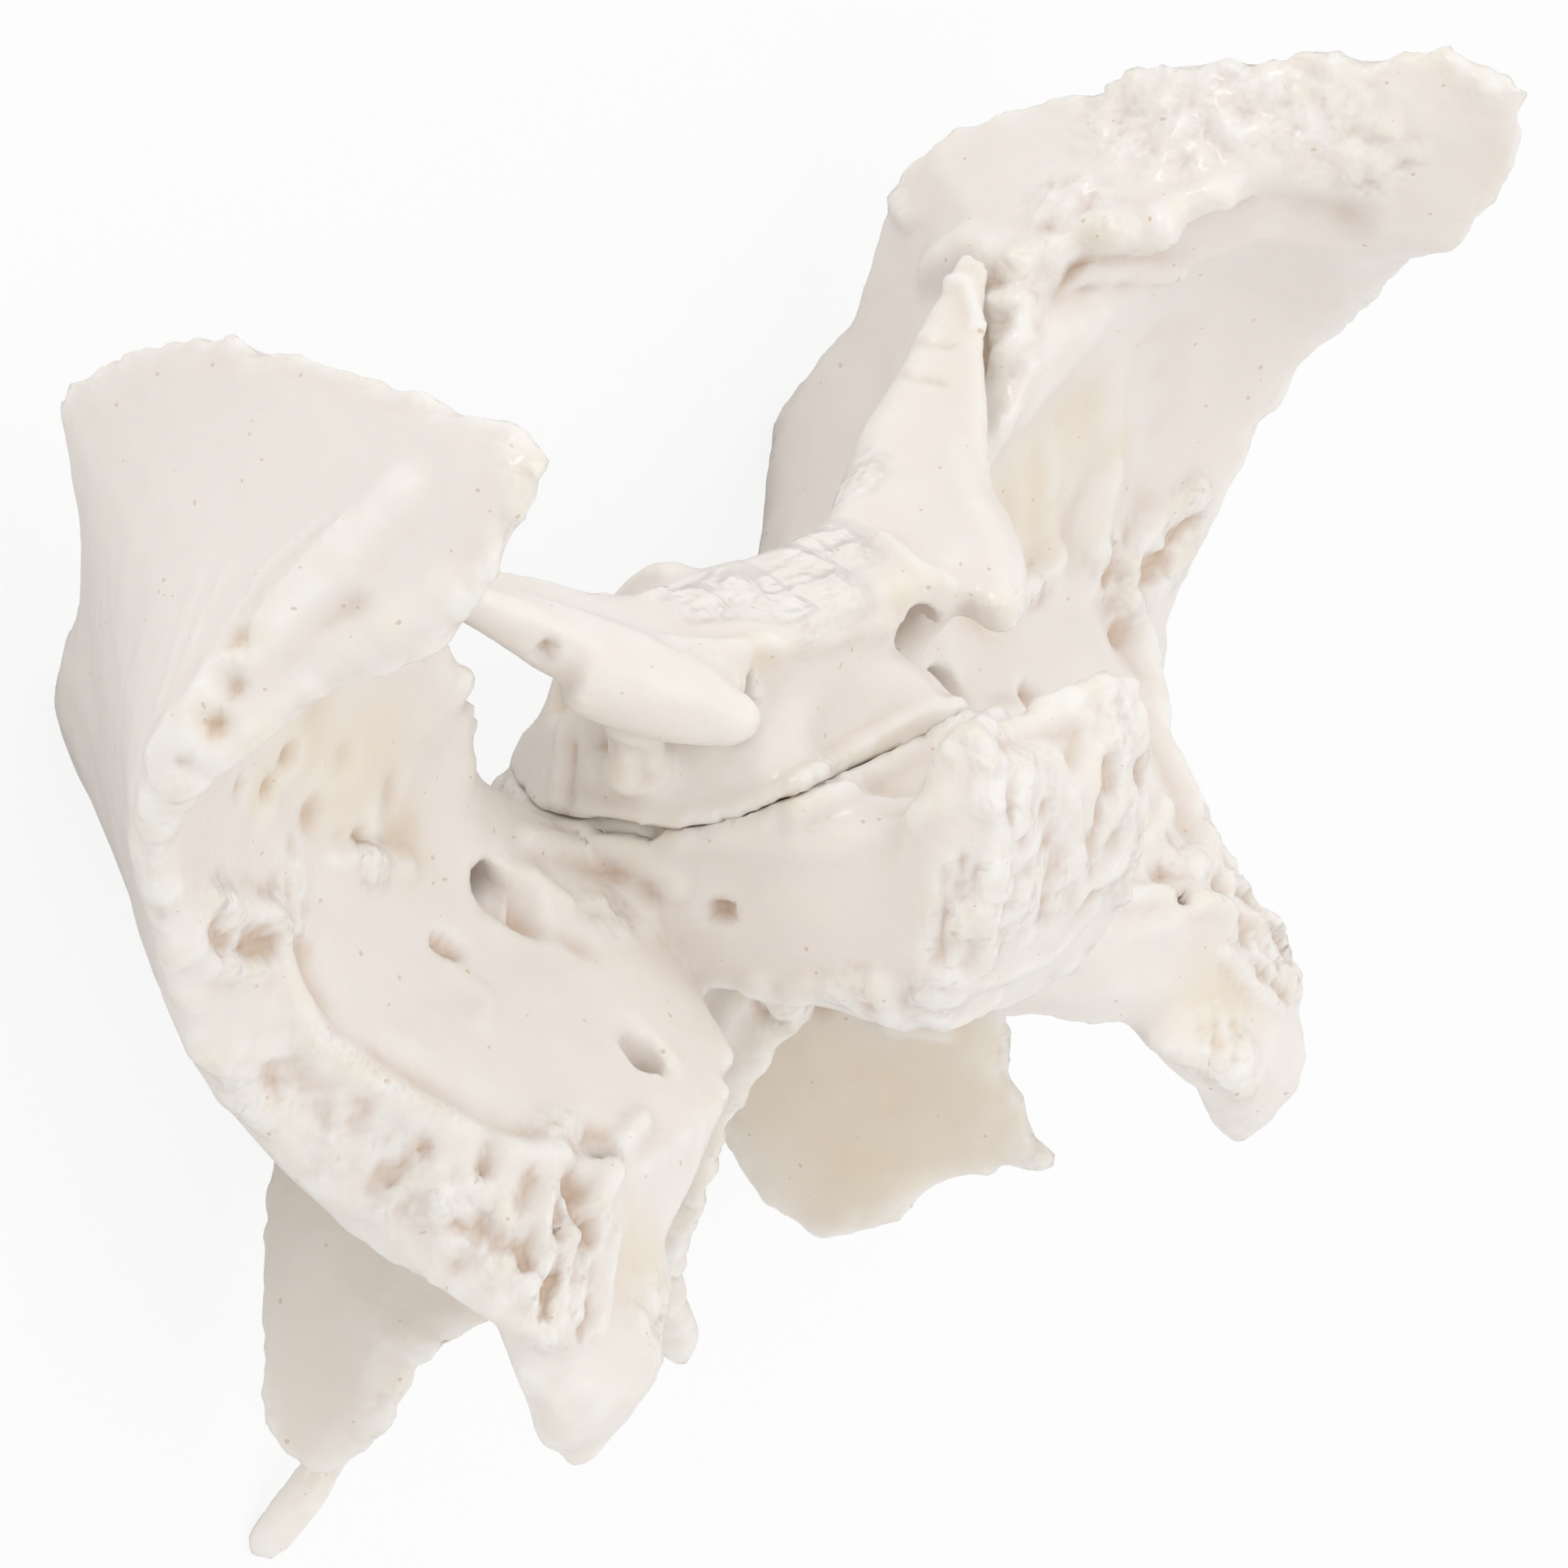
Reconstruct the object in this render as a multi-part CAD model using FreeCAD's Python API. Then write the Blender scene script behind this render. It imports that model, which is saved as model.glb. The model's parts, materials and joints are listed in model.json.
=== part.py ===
import FreeCAD, Part
import math
import os

# Sphenoid bone model: a plastic teaching cast in two glued castings.
# The bone is drawn in its own frame in millimetres: x to its left, y to its back, z up,
# with the origin at the middle of the tuberculum sellae. Each paired feature is drawn on the
# left and mirrored to the right, with the few sizes in which the two sides differ.

# Places of the two sides' values where a row has both
LEFT = 0
RIGHT = 1

# Main sizes
SEAM_GAP = 0.12
PLATE = 2.2
CANAL = 4.0

# Body, as rings across the bone: y, half width, top, bottom
BODY = (
    (-12.0, 6.5, -4.6, -20.0),
    (-7.5, 11.0, 0.6, -22.0),
    (-1.5, 12.0, 0.3, -20.5),
    (5.0, 11.0, -1.5, -18.0),
    (12.0, 10.2, -1.0, -15.5),
    (18.6, 9.4, -3.0, -13.0),
)
DORSUM = ((10.5, -9.0), (12.2, -1.0), (13.0, 3.4), (15.3, 4.0), (18.0, 0.6), (19.6, -6.0),
          (18.4, -12.4), (12.0, -14.5))
DORSUM_HALF = 9.8
DORSUM_SHARES = ((-1.0, 0.5, 0.0), (-0.86, 0.93, 0.6), (-0.45, 1.0, -0.2), (0.0, 1.0, -0.5),
                 (0.45, 1.0, -0.2), (0.86, 0.93, 0.6), (1.0, 0.5, 0.0))
FOSSA_CENTRE = (0.0, 7.2, 0.4)
FOSSA_RADII = (8.4, 5.4, 5.6)

# Seam between the castings, seen from the side: y, z
SEAM = ((-16.0, -14.5), (-6.0, -11.3), (-2.5, -9.4), (0.5, -8.4), (3.2, -6.8), (5.2, -4.8),
        (6.8, -2.0), (7.6, 3.0))
SEAM_HALF = 13.2

# Greater wing, as level rings from the zygomatic corner round the temporal face, the
# squamous edge, the cerebral face and the orbital face: height, how far back the frontal
# edge of the left and of the right wing lies from the drawn one, then x, y
WING = (
    (-23.5, (0.0, 0.0), ((25, -12), (30.5, -9), (36, -2), (40.3, 6), (40.6, 13.5), (39, 18.4), (31.5, 17.6),
             (24, 14.6), (15, 7), (9, 0), (9, -9), (16, -13))),
    (-17.5, (0.0, 0.0), ((31, -17), (37, -11.5), (42.6, -6), (46, -0.8), (41.2, 4.2), (38.8, 9.6),
             (33.5, 14.2), (22, 13.6), (12, 9.4), (7, -1), (8, -10), (19.5, -15))),
    (-12.5, (0.0, 0.0), ((33.5, -20.5), (40, -14.5), (45.4, -8.8), (49.6, -3.2), (45.6, -1.6), (41.2, 0.2),
             (35, 1.2), (27, 1.2), (16, 0), (10, -4), (12, -11), (23.5, -16))),
    (-7.0, (0.0, 0.0), ((36, -24.4), (42.4, -16.6), (48, -10), (53, -4.5), (50.4, -3), (45, -4),
            (38, -5), (31, -5), (25, -4.8), (19.6, -6.8), (23, -12), (29, -18))),
    (-1.0, (0.0, 0.0), ((38.6, -23), (45, -16.6), (51.6, -10.6), (56.8, -5.6), (55.2, -4.2), (49, -6),
            (42, -7), (35, -6.6), (28.5, -5.6), (23.6, -6.2), (27, -11.5), (33, -17.5))),
    (5.0, (0.0, 0.0), ((39.8, -24), (46.4, -17.4), (53.6, -10.5), (58.8, -5.2), (57, -2.6), (51, -5.4),
           (45, -7.6), (39, -7.6), (33, -6.8), (28.8, -7), (31, -12.5), (35.6, -18.8))),
    (10.5, (0.0, 4.0), ((40.4, -27), (46.2, -18.5), (52.6, -10.8), (57.4, -4.4), (55, 1), (50.5, -2),
            (46, -5), (41.5, -6.8), (37, -7.6), (33.6, -9.6), (34, -15.5), (36.8, -22))),
    (16.0, (-2.9, 3.3), ((42.6, -20.5), (46.4, -14.5), (51, -8.2), (54.6, -2), (52.8, 5), (49.4, 3.2),
            (46.6, 0), (44, -2), (41.6, -3.6), (39.6, -6), (39.6, -11), (40.8, -16.6))),
    (21.5, (-3.0, 3.3), ((44.8, -14), (47, -9.6), (49.6, -5), (51.8, 0), (52.2, 6.4), (50, 5.4),
            (48.2, 3.4), (46.8, 1.4), (45.8, -0.6), (45, -3), (44.4, -6.6), (44.2, -10.6))),
    (27.6, (0.0, 0.0), ((49, 1.4), (49.6, 2.6), (50.2, 3.9), (50.8, 5.2), (50.9, 6.6), (50.4, 6.9),
            (49.9, 6.6), (49.4, 6), (48.9, 5.2), (48.6, 4.2), (48.5, 3.2), (48.6, 2.2))),
)

# How much of the shift each ring point takes, by its place in the ring
FRONTAL_SHARES = {0: 1.0, 1: 0.6, 2: 0.2, 10: 0.3, 11: 0.7}

# Spine of the greater wing: height, x, y, half width along x and y
SPINE = ((-18.8, 31.0, 10.6, 6.0, 3.2), (-24.0, 32.2, 15.8, 7.4, 4.0),
         (-27.5, 34.0, 18.4, 4.4, 2.8), (-31.6, 34.4, 18.7, 1.1, 1.1))

# Front pillar of the pterygoid process: height, inner x, outer x, front y, back y
PILLAR = ((-19.0, 9.5, 24.0, -13.5, 2.0), (-27.0, 10.6, 21.4, -13.2, -5.5),
          (-33.5, 11.4, 20.8, -11.4, -7.0), (-35.6, 13.2, 19.2, -9.8, -7.8))

# Plates of the pterygoid process: height, front x, front y, back x, back y on the left
# and on the right, where only the right lateral plate has a jutting rear corner
LATERAL = ((-20.0, 18.0, -12.0, 21.5, 8.0, 8.0), (-27.0, 19.2, -12.0, 24.2, 8.6, 8.2),
           (-32.0, 19.8, -11.2, 26.6, 8.4, 9.2), (-35.2, 20.6, -10.2, 27.8, 5.8, 12.0),
           (-39.0, 21.8, -8.2, 27.0, 4.6, 7.0), (-43.0, 23.6, -5.6, 26.1, 3.4, 5.2),
           (-46.2, 24.8, -2.6, 25.6, 1.2, 1.4))
MEDIAL = ((-20.0, 11.0, -12.0, 11.0, 5.0, 5.0), (-28.0, 11.4, -12.0, 11.6, 1.6, 1.6),
          (-35.0, 12.0, -9.6, 12.0, -0.4, -0.4), (-42.0, 13.2, -6.4, 13.2, -1.0, -1.0),
          (-48.0, 15.4, -4.8, 15.4, -1.6, -1.6))
HAMULUS_PATH = ((15.2, -3.2, -46.5, 1.0), (16.8, -3.1, -49.8, 1.25), (18.8, -3.0, -52.2, 1.3),
                (20.7, -3.0, -54.6, 1.25), (21.3, -3.0, -55.5, 0.7))

# Lesser wing, as upright sections along x: x, front y, back y, middle z, thickness
LESSER = ((0.0, -6.4, 1.2, 0.4, 4.0), (8.0, -6.8, 1.4, 0.2, 4.4), (13.0, -8.0, 2.0, 0.8, 4.4),
          (18.5, -10.8, -0.8, 2.4, 3.4), (24.0, -12.4, -5.6, 4.2, 2.8),
          (28.4, -13.8, -9.8, 6.6, 2.2), (32.0, -15.0, -12.8, 9.2, 1.3))
CLINOID = ((19.5, -3.5, 1.6, 2.4), (17.0, -0.5, 1.2, 2.5), (14.6, 2.2, 0.9, 2.1),
           (13.2, 4.2, 0.6, 1.2))
STRUT = ((10.5, -1.5, -7.0, 1.9), (13.4, -1.4, -4.0, 1.6), (16.2, -1.6, 0.4, 2.0))
OPTIC = ((8.2, 1.8, -0.9), (16.4, -10.0, -2.2))

# Openings of each greater wing: start x, y, z, direction, radius and length.
# They are the round, oval and spinous foramina and the pterygoid canal.
FORAMINA = (((23.4, 1.5, -9.6), (-0.1, -1.0, -0.3), 1.5, 20.0),
            ((20.0, 7.6, -12.6), (0.1, 0.2, -1.0), 1.3, 13.0),
            ((29.4, 12.6, -14.0), (0.05, 0.0, -1.0), 1.0, 10.6),
            ((14.0, 10.0, -20.0), (0.0, -1.0, 0.0), 0.9, 26.0))
SINUS = (4.4, -14.0, -8.0, 2.8, 10.0)
CREST = ((-11.0, -1.0), (-13.6, -8.0), (-14.8, -16.0), (-17.0, -22.5), (-9.0, -25.0),
         (-6.0, -19.0), (-8.0, -2.0))
CREST_THICK = 2.4

# Resting pose: the bone lies face down on the hamuli and the zygomatic corners
LAY_ANGLE = 67.1


def vec(point):
    return FreeCAD.Vector(*point)


def curve_point(before, start, end, after, share):
    """A point on the smooth curve between start and end."""
    point = []
    for p0, p1, p2, p3 in zip(before, start, end, after):
        point.append(0.5 * (2 * p1 + (p2 - p0) * share
                            + (2 * p0 - 5 * p1 + 4 * p2 - p3) * share ** 2
                            + (3 * p1 - p0 - 3 * p2 + p3) * share ** 3))
    return tuple(point)


def smooth_ring(points, steps):
    """A closed ring with each span cut into steps on a smooth curve."""
    fine = []
    count = len(points)
    for index in range(count):
        near = [points[(index + shift) % count] for shift in (-1, 0, 1, 2)]
        fine += [curve_point(*near, step / steps) for step in range(steps)]
    return fine


def smooth_run(points, steps):
    """An open run with each span cut into steps on a smooth curve."""
    fine = []
    last = len(points) - 1
    for index in range(last):
        near = [points[min(max(index + shift, 0), last)] for shift in (-1, 0, 1, 2)]
        fine += [curve_point(*near, step / steps) for step in range(steps)]
    return fine + [tuple(points[last])]


def loft(rings, around=2, along=2):
    """A closed solid skinned with flat facets over a smooth run of rings."""
    rings = [smooth_ring(points, around) for points in rings]
    count = len(rings[0])
    rails = [smooth_run([points[index] for points in rings], along) for index in range(count)]
    levels = len(rails[0])
    points = [rails[index][level] for level in range(levels) for index in range(count)]
    facets = []
    for level in range(levels - 1):
        for index in range(count):
            a = level * count + index
            b = level * count + (index + 1) % count
            facets += [(a, b, b + count), (a, b + count, a + count)]
    for level, turn in ((0, -1), (levels - 1, 1)):
        loop = [level * count + index for index in range(count)]
        centre = [sum(points[index][axis] for index in loop) / count for axis in range(3)]
        points.append(tuple(centre))
        hub = len(points) - 1
        for index in range(count):
            edge = (loop[index], loop[(index + 1) % count])
            facets.append((edge[0], edge[1], hub)[::turn])
    skin = Part.Shape()
    skin.makeShapeFromMesh(([vec(point) for point in points], facets), 0.001)
    solid = Part.Solid(Part.Shell(skin.Faces))
    if solid.Volume < 0:
        solid.reverse()
    return solid


def prism(profile, half, steps=3):
    """A slab across the bone with a smooth side profile of y, z points."""
    flat = smooth_ring(profile, steps)
    face = Part.Face(Part.makePolygon([vec((-half, y, z)) for y, z in flat + flat[:1]]))
    return face.extrude(vec((2 * half, 0, 0)))


def mirrored(shape):
    return shape.mirror(vec((0, 0, 0)), vec((1, 0, 0)))


def both(shape):
    return [shape, mirrored(shape)]


def wing_ring(side, z, shifts, points):
    """A level ring with its frontal edge and the points beside it shifted back."""
    ring = []
    for index, (x, y) in enumerate(points):
        ring.append((x, y + shifts[side] * FRONTAL_SHARES.get(index, 0.0), z))
    return ring


def oval_ring(centre, along, across):
    """Eight points of an ellipse with the two half axes given as vectors."""
    points = []
    for step in range(8):
        angle = step * math.pi / 4.0
        c = math.cos(angle)
        s = math.sin(angle)
        points.append([m + a * c + b * s for m, a, b in zip(centre, along, across)])
    return points


def plate_ring(z, front_x, front_y, back_x, back_y, thick):
    """A thin level section with rounded ends between a front and a back edge."""
    run = (back_x - front_x, back_y - front_y)
    length = math.hypot(*run)
    side = (run[1] / length * thick / 2.0, -run[0] / length * thick / 2.0)
    points = []
    for share, width in ((0.0, 0.0), (0.12, 1.0), (0.5, 0.9), (0.88, 1.0), (1.0, 0.0)):
        points.append((front_x + run[0] * share + side[0] * width,
                       front_y + run[1] * share + side[1] * width, z))
    for share, width in ((0.88, 1.0), (0.5, 0.9), (0.12, 1.0)):
        points.append((front_x + run[0] * share - side[0] * width,
                       front_y + run[1] * share - side[1] * width, z))
    return points


def tube(stations):
    """A round tapering rod through x, y, z, radius stations, square to its run."""
    rings = []
    for index, (x, y, z, radius) in enumerate(stations):
        before = vec(stations[max(index - 1, 0)][:3])
        after = vec(stations[min(index + 1, len(stations) - 1)][:3])
        run = (after - before).normalize()
        side = run.cross(vec((0, 1, 0.3))).normalize() * radius
        up = run.cross(side).normalize() * radius
        rings.append(oval_ring((x, y, z), side, up))
    return loft(rings)


def dorsum():
    """The block behind the fossa, rounded at its sides with the corners raised."""
    middle_y = sum(y for y, z in DORSUM) / len(DORSUM)
    middle_z = sum(z for y, z in DORSUM) / len(DORSUM)
    rings = []
    for share, size, rise in DORSUM_SHARES:
        rings.append([(DORSUM_HALF * share, middle_y + (y - middle_y) * size,
                       middle_z + (z - middle_z) * size + (rise if z > 0 else 0.0))
                      for y, z in DORSUM])
    return loft(rings, 3, 1)


def body():
    rings = []
    for y, half, top, bottom in BODY:
        middle = (top + bottom) / 2.0
        tall = (top - bottom) / 2.0
        points = []
        for step in range(12):
            angle = step * math.pi / 6.0
            c = math.cos(angle)
            s = math.sin(angle)
            points.append((half * math.copysign(abs(c) ** 0.6, c), y,
                           middle + tall * math.copysign(abs(s) ** 0.6, s)))
        rings.append(points)
    shape = loft(rings)
    shape = shape.fuse(dorsum())
    wide, deep, tall = FOSSA_RADII
    x, y, z = FOSSA_CENTRE
    rings = []
    for step in range(7):
        angle = (step - 3) * math.pi / 6.4
        flat = math.cos(angle)
        rings.append(oval_ring((x, y, z + tall * math.sin(angle)),
                               (wide * flat, 0, 0), (0, deep * flat, 0)))
    return shape.cut(loft(rings, 2, 1))


def above_seam(lift, half=30.0):
    """Everything above the seam, as a thick slab across the body."""
    low = [(y, z + lift) for y, z in smooth_run(SEAM, 3)]
    outline = low + [(SEAM[-1][0], 30.0), (-40.0, 30.0), (-40.0, SEAM[0][1] + lift)]
    wire = Part.makePolygon([vec((-half, y, z)) for y, z in outline + outline[:1]])
    return Part.Face(wire).extrude(vec((2 * half, 0, 0)))


def hole(centre, axis, radius, length):
    return Part.makeCylinder(radius, length, vec(centre), vec(axis))


def greater_wing(side):
    wing = loft([wing_ring(side, *row) for row in WING], 3, 2)
    spine = loft([oval_ring((x, y, z), (wide, 0, 0), (0, deep, 0))
                  for z, x, y, wide, deep in SPINE])
    return wing.fuse(spine)


def pterygoid(side):
    rings = []
    for z, inner, outer, front, back in PILLAR:
        rings.append(oval_ring(((inner + outer) / 2.0, (front + back) / 2.0, z),
                               ((outer - inner) / 2.0, 0, 0), (0, (back - front) / 2.0, 0)))
    shape = loft(rings)
    for plate in (LATERAL, MEDIAL):
        shape = shape.fuse(loft([plate_ring(*row[:4], row[4 + side], PLATE) for row in plate]))
    rod = tube(HAMULUS_PATH)
    return shape.fuse(rod)


def lesser_wing():
    rings = []
    for x, front, back, z, thick in LESSER:
        flat = plate_ring(0.0, 0.0, front, 0.0, back, thick)
        rings.append([(x, y, z + across) for across, y, _ in flat])
    wing = loft(rings)
    return wing.fuse([tube(CLINOID), tube(STRUT)])


def foramina():
    cuts = []
    for start, run, radius, length in FORAMINA:
        cuts += both(hole(start, run, radius, length))
    return cuts


def upper_casting(core, crest):
    keep = above_seam(SEAM_GAP / 2.0)
    start = vec(OPTIC[0])
    run = vec(OPTIC[1]) - start
    x, y, z, radius, depth = SINUS
    cuts = both(hole(start, run, CANAL / 2.0, run.Length))
    cuts += both(hole((x, y, z), (0, 1, 0), radius, depth))
    shape = core.common(keep).fuse([crest.common(keep)] + both(lesser_wing()))
    return shape.cut(cuts).removeSplitter()


def lower_casting(core, crest):
    clear = above_seam(-SEAM_GAP / 2.0)
    shape = core.cut(clear).fuse(crest.cut(clear))
    shape = shape.fuse([greater_wing(LEFT), pterygoid(LEFT),
                        mirrored(greater_wing(RIGHT)), mirrored(pterygoid(RIGHT))])
    cuts = foramina() + [above_seam(-SEAM_GAP / 2.0, SEAM_HALF)]
    return shape.cut(cuts).removeSplitter()


def main():
    os.makedirs("parts", exist_ok=True)
    core = body()
    crest = prism(CREST, CREST_THICK / 2.0)
    castings = {"upper_casting": upper_casting(core, crest),
                "lower_casting": lower_casting(core, crest)}
    for shape in castings.values():
        shape.rotate(vec((0, 0, 0)), vec((1, 0, 0)), LAY_ANGLE)
    box = Part.makeCompound(list(castings.values())).BoundBox
    shift = vec((-box.Center.x, -box.Center.y, -box.ZMin))
    for name, shape in castings.items():
        solid = shape.Solids[0]
        solid.translate(shift)
        print(name, len(shape.Solids), solid.isValid(), solid.BoundBox, "shift", shift)
        solid.exportStep("parts/" + name + ".step")


main()
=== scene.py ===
import json
import math
from collections import namedtuple

import bpy
import numpy as np
from mathutils import Matrix, Vector
from mathutils.bvhtree import BVHTree

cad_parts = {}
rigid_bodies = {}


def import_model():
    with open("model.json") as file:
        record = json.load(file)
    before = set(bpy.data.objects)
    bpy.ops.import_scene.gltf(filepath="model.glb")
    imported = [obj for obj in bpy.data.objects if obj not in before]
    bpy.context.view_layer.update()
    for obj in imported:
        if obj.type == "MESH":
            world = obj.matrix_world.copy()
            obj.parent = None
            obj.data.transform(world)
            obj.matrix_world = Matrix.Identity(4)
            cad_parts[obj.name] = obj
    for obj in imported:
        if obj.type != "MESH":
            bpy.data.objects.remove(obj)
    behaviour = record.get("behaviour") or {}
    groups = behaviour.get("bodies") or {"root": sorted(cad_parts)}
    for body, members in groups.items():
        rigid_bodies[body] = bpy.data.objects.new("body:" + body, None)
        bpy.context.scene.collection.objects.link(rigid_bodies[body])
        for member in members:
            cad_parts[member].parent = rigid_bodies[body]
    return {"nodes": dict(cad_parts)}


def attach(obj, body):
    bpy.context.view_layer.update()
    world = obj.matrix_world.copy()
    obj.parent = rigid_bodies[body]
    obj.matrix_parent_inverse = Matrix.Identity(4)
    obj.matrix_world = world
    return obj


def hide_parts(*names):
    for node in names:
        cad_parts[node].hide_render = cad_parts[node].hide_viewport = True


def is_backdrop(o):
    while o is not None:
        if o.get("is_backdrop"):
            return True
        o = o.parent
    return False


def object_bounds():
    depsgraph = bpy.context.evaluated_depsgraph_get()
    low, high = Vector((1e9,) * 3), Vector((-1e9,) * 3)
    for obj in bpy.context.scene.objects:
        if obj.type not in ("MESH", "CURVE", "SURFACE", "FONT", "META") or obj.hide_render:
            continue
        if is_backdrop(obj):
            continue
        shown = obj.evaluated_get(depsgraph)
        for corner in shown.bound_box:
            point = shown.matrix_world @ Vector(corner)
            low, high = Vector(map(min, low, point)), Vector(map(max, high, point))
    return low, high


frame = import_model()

bl_info = {
    "name": "Sphenoid bone model",
    "version": (1, 0, 0),
    "blender": (4, 5, 0),
    "location": "View3D > Sidebar > Sphenoid",
    "description": "Builds the looks of a cast sphenoid bone around its solid model",
    "category": "Object",
}

MM = 0.001
PHOTO_SIDE = 1932.0
PHOTO_MIDDLE = PHOTO_SIDE / 2.0

# The bone's own frame (x left, y back, z up, origin at the tuberculum) laid down in the world
LAY_ANGLE = math.radians(67.1)
LAY_SHIFT = (0.0, -11.9908, 25.2008)

# Camera in the bone's own frame: the directions of the picture's right and up edges
PICTURE_RIGHT = (-0.5398, 0.7858, 0.3019)
PICTURE_UP = (-0.2302, -0.4828, 0.8450)
CAMERA_PLACE = (652.7, 312.8, 347.5)
CAMERA_FOCAL_PX = 18083.7

# Stage: light from all round, the floor with the share of it that shows as plain white, and
# the lamps' places along the picture's right, up and towards-the-viewer directions in
# metres, with their power in watts and side in metres
WORLD_LIGHT = 0.87
FLOOR_SIDE = 12.0
FLOOR_WHITE = (0.9, 0.9, 0.9, 1.0)
FLOOR_ROUGHNESS = 0.9
FLOOR_GLOW = 0.86
LAMP_TARGET = (0.0, 0.0, 0.02)
LAMPS = (("key", (-0.35, 0.80, 0.55), 4.8, 0.30), ("fill", (0.8, 0.2, 0.6), 1.4, 0.8))
CAMERA_REACH = 50.0

# Patterns of the plastic: their fineness, as repeats in a metre
CLOUD_SCALE = 90.0
FLECK_SCALE = 420.0
SPECK_SCALE = 1900.0
SMEAR_SCALE = 160.0
GRAIN_SCALE = 1400.0
LUMP_SCALE = 520.0
STRAND_SCALE = 900.0
STRAND_STRETCH = (0.18, 1.0, 1.0)

# How strongly the patterns colour the plastic, and how dark the painted shade in the pits is
FLECK_SHARE = 0.35
SPECK_SHARE = 0.55
PIT_SHADE = 0.7

# How high the patterns stand beside one another, and how much glossier the wrinkles are
GRAIN_HEIGHT = 0.22
LUMP_HEIGHT = 0.5
ROUGH_HEIGHT = 3.5
WRINKLE_HEIGHT = 4.5
WRINKLE_SHINE = -0.16
BUMP_STRENGTH = 0.8
BUMP_DISTANCE = 0.00022

# Places of the colour sockets in a mix node
MIX_FACTOR = 0
MIX_FIRST = 6
MIX_SECOND = 7
MIX_RESULT = 2

# Swelling joined to a solid before it is softened: a run of x, y, z, radius in the bone's
# frame, made on both sides, and the places of the balls along each stretch of it
CLINOID_ROOT = ((22.5, -8.0, 3.6, 1.5), (20.0, -5.0, 2.8, 2.1), (17.2, -1.8, 1.9, 2.4),
                (15.0, 1.2, 1.2, 2.2), (13.4, 3.6, 0.8, 1.5))
BALL_SHARES = (0.0, 0.34, 0.67, 1.0)

# Distance under which split vertices of a solid are joined
DOUBLES = 0.00001

# Rounds of softening: all over, on the saddle and after the last pattern, and the share of
# it that the seam gets
SOFT_ROUNDS = 10
LEVEL_ROUNDS = 60
EVEN_ROUNDS = 1
SEAM_SOFTNESS = 0.12

# Distance from the other casting over which the seam is kept as tight as in the solids
SEAM_REACH = 0.0016

# Pixels between two sights along a stroke, and shares of the stated width and height that
# the strokes are drawn with
TRACE_STEP = 6.0
STROKE_WIDTH = 1.05
STROKE_HEIGHT = 0.95

# Least weight that is stored, and how fast a zone reaches its full weight
WEIGHT_LEAST = 0.004
ZONE_GAIN = 1.4

# Thin edges: rounds that find them, relief over which they reach full weight and the share
# of it that is left out, and rounds that blur them
EDGE_ROUNDS = 14
EDGE_RELIEF = 0.32 * MM
EDGE_START = 0.2
EDGE_BLUR = 3

# Grain of the lobes, knobs and ripple in metres, and the height of the ripple
LOBE_GRAIN = 0.0022
KNOB_GRAIN = 0.0013
RIPPLE_GRAIN = 0.006
RIPPLE_HEIGHT = 0.0005

# Masks for the material: rounds that find the relief, relief of a full painted highlight on a rim
# and of full painted shade in a pit, the painted highlight that a rough zone adds, and the thickness
# that looks warm
MASK_ROUNDS = 10
HIGHLIGHT_RELIEF = 0.22 * MM
HIGHLIGHT_ON_ROUGH = 0.4
PIT_SHADE_RELIEF = 0.30 * MM
PIT_SHADE_START = 0.2
WARM_FROM = 3.4 * MM
WARM_OVER = 3.0 * MM
WARM_SHARE = 0.6
THICKNESS_SKIN = 0.0001
THICKNESS_REACH = 0.01

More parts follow.
